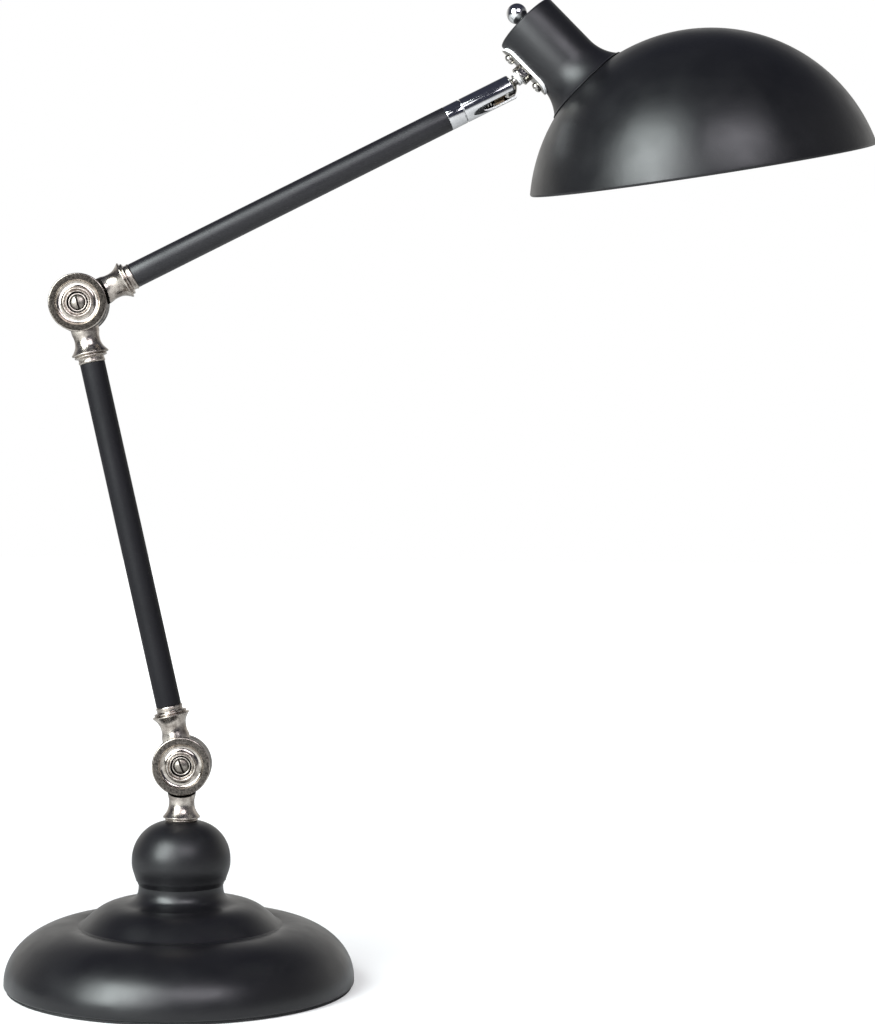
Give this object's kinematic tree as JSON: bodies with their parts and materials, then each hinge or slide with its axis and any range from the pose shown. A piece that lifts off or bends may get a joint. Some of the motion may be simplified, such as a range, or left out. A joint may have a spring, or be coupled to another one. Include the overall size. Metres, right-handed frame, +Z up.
{
  "type": "desk lamp",
  "caption": "Jointed desk lamp with a stepped domed base, tube arms on disc hinges, a slotted ball joint and a dome shade.",
  "frame": {"origin": "on the table, under the centre of the round base", "axes": "+Z up; the arms swing in the XZ plane and the shade reaches out to +X; +Y points to the back, where the cord goes in, and the picture looks along +Y"},
  "size_m": [0.4454, 0.1901, 0.5149],
  "materials": {
    "satin_black": "satin powder coat over steel",
    "shade_black": "spun aluminium, satin black outside and white inside",
    "nickel": "warm plated finish",
    "chrome": "mirror",
    "cast": "raw casting, painted",
    "zinc_steel": "zinc plated",
    "foam": "matt foam rubber",
    "fibre": "pressed fibre",
    "seat_bronze": "turned bronze",
    "holder_black": "moulded",
    "holder_white": "glazed ceramic look",
    "contact_brass": "stamped brass",
    "opal_glass": "opal",
    "cap_metal": "pressed"
  },
  "bodies": {
    "base": {"base_shell": "satin_black", "base_collar": "satin_black", "base_weight": "cast", "base_pad": "foam", "base_nipple": "zinc_steel", "base_washer": "zinc_steel", "base_nut": "zinc_steel", "collar_washer": "fibre", "cord_gland": "foam", "base_knuckle": "nickel"},
    "lower_arm": {"lower_arm_knuckle": "nickel", "lower_arm_tube": "satin_black", "elbow_front_knuckle": "nickel", "lower_friction_washer": "fibre", "lower_hinge_screw": "nickel", "lower_hinge_nut": "nickel", "elbow_friction_washer": "fibre", "elbow_screw": "nickel", "elbow_nut": "nickel"},
    "upper_arm": {"elbow_rear_knuckle": "nickel", "upper_arm_tube": "satin_black", "arm_end_collar": "chrome", "swivel_bolt": "chrome"},
    "sleeve": {"ball_sleeve": "chrome", "ball_spring": "zinc_steel", "ball_seat": "seat_bronze"},
    "stud": {"ball_stud": "chrome"},
    "head": {"lock_nut": "chrome", "saddle_plate": "chrome", "saddle_screws": "chrome", "lampholder_cup": "satin_black", "switch_body": "holder_black", "holder_body": "holder_white", "holder_shell": "contact_brass", "holder_contact": "contact_brass", "shade": "shade_black", "shade_ring": "holder_black", "bulb_glass": "opal_glass", "bulb_cap": "cap_metal"},
    "knob": {"switch_knob": "chrome"}
  },
  "joints": [
    {"name": "lower_hinge", "type": "hinge", "parent": "base", "child": "lower_arm", "pos_m": [0, 0, 0.1148], "axis": [0, 1, 0], "range_deg": [-50, 45]},
    {"name": "elbow", "type": "hinge", "parent": "lower_arm", "child": "upper_arm", "pos_m": [-0.05525, 0, 0.35411], "axis": [0, -1, 0], "range_deg": [-45, 100]},
    {"name": "sleeve_turn", "type": "hinge", "parent": "upper_arm", "child": "sleeve", "pos_m": [0.14283, 0, 0.45634], "axis": [0.8886, 0, 0.4587], "range_deg": [-165, 165]},
    {"name": "ball_tilt", "type": "hinge", "parent": "sleeve", "child": "stud", "pos_m": [0.16566, 0, 0.46813], "axis": [0, 1, 0], "range_deg": [-12, 46.5]},
    {"name": "head_turn", "type": "hinge", "parent": "stud", "child": "head", "pos_m": [0.16566, 0, 0.46813], "axis": [0.712, 0, 0.7022], "range_deg": [-150, 150]},
    {"name": "knob_turn", "type": "hinge", "parent": "head", "child": "knob", "pos_m": [0.17441, 0.00099, 0.5034], "axis": [0.7012, -0.0523, -0.7111], "continuous": true}
  ]
}
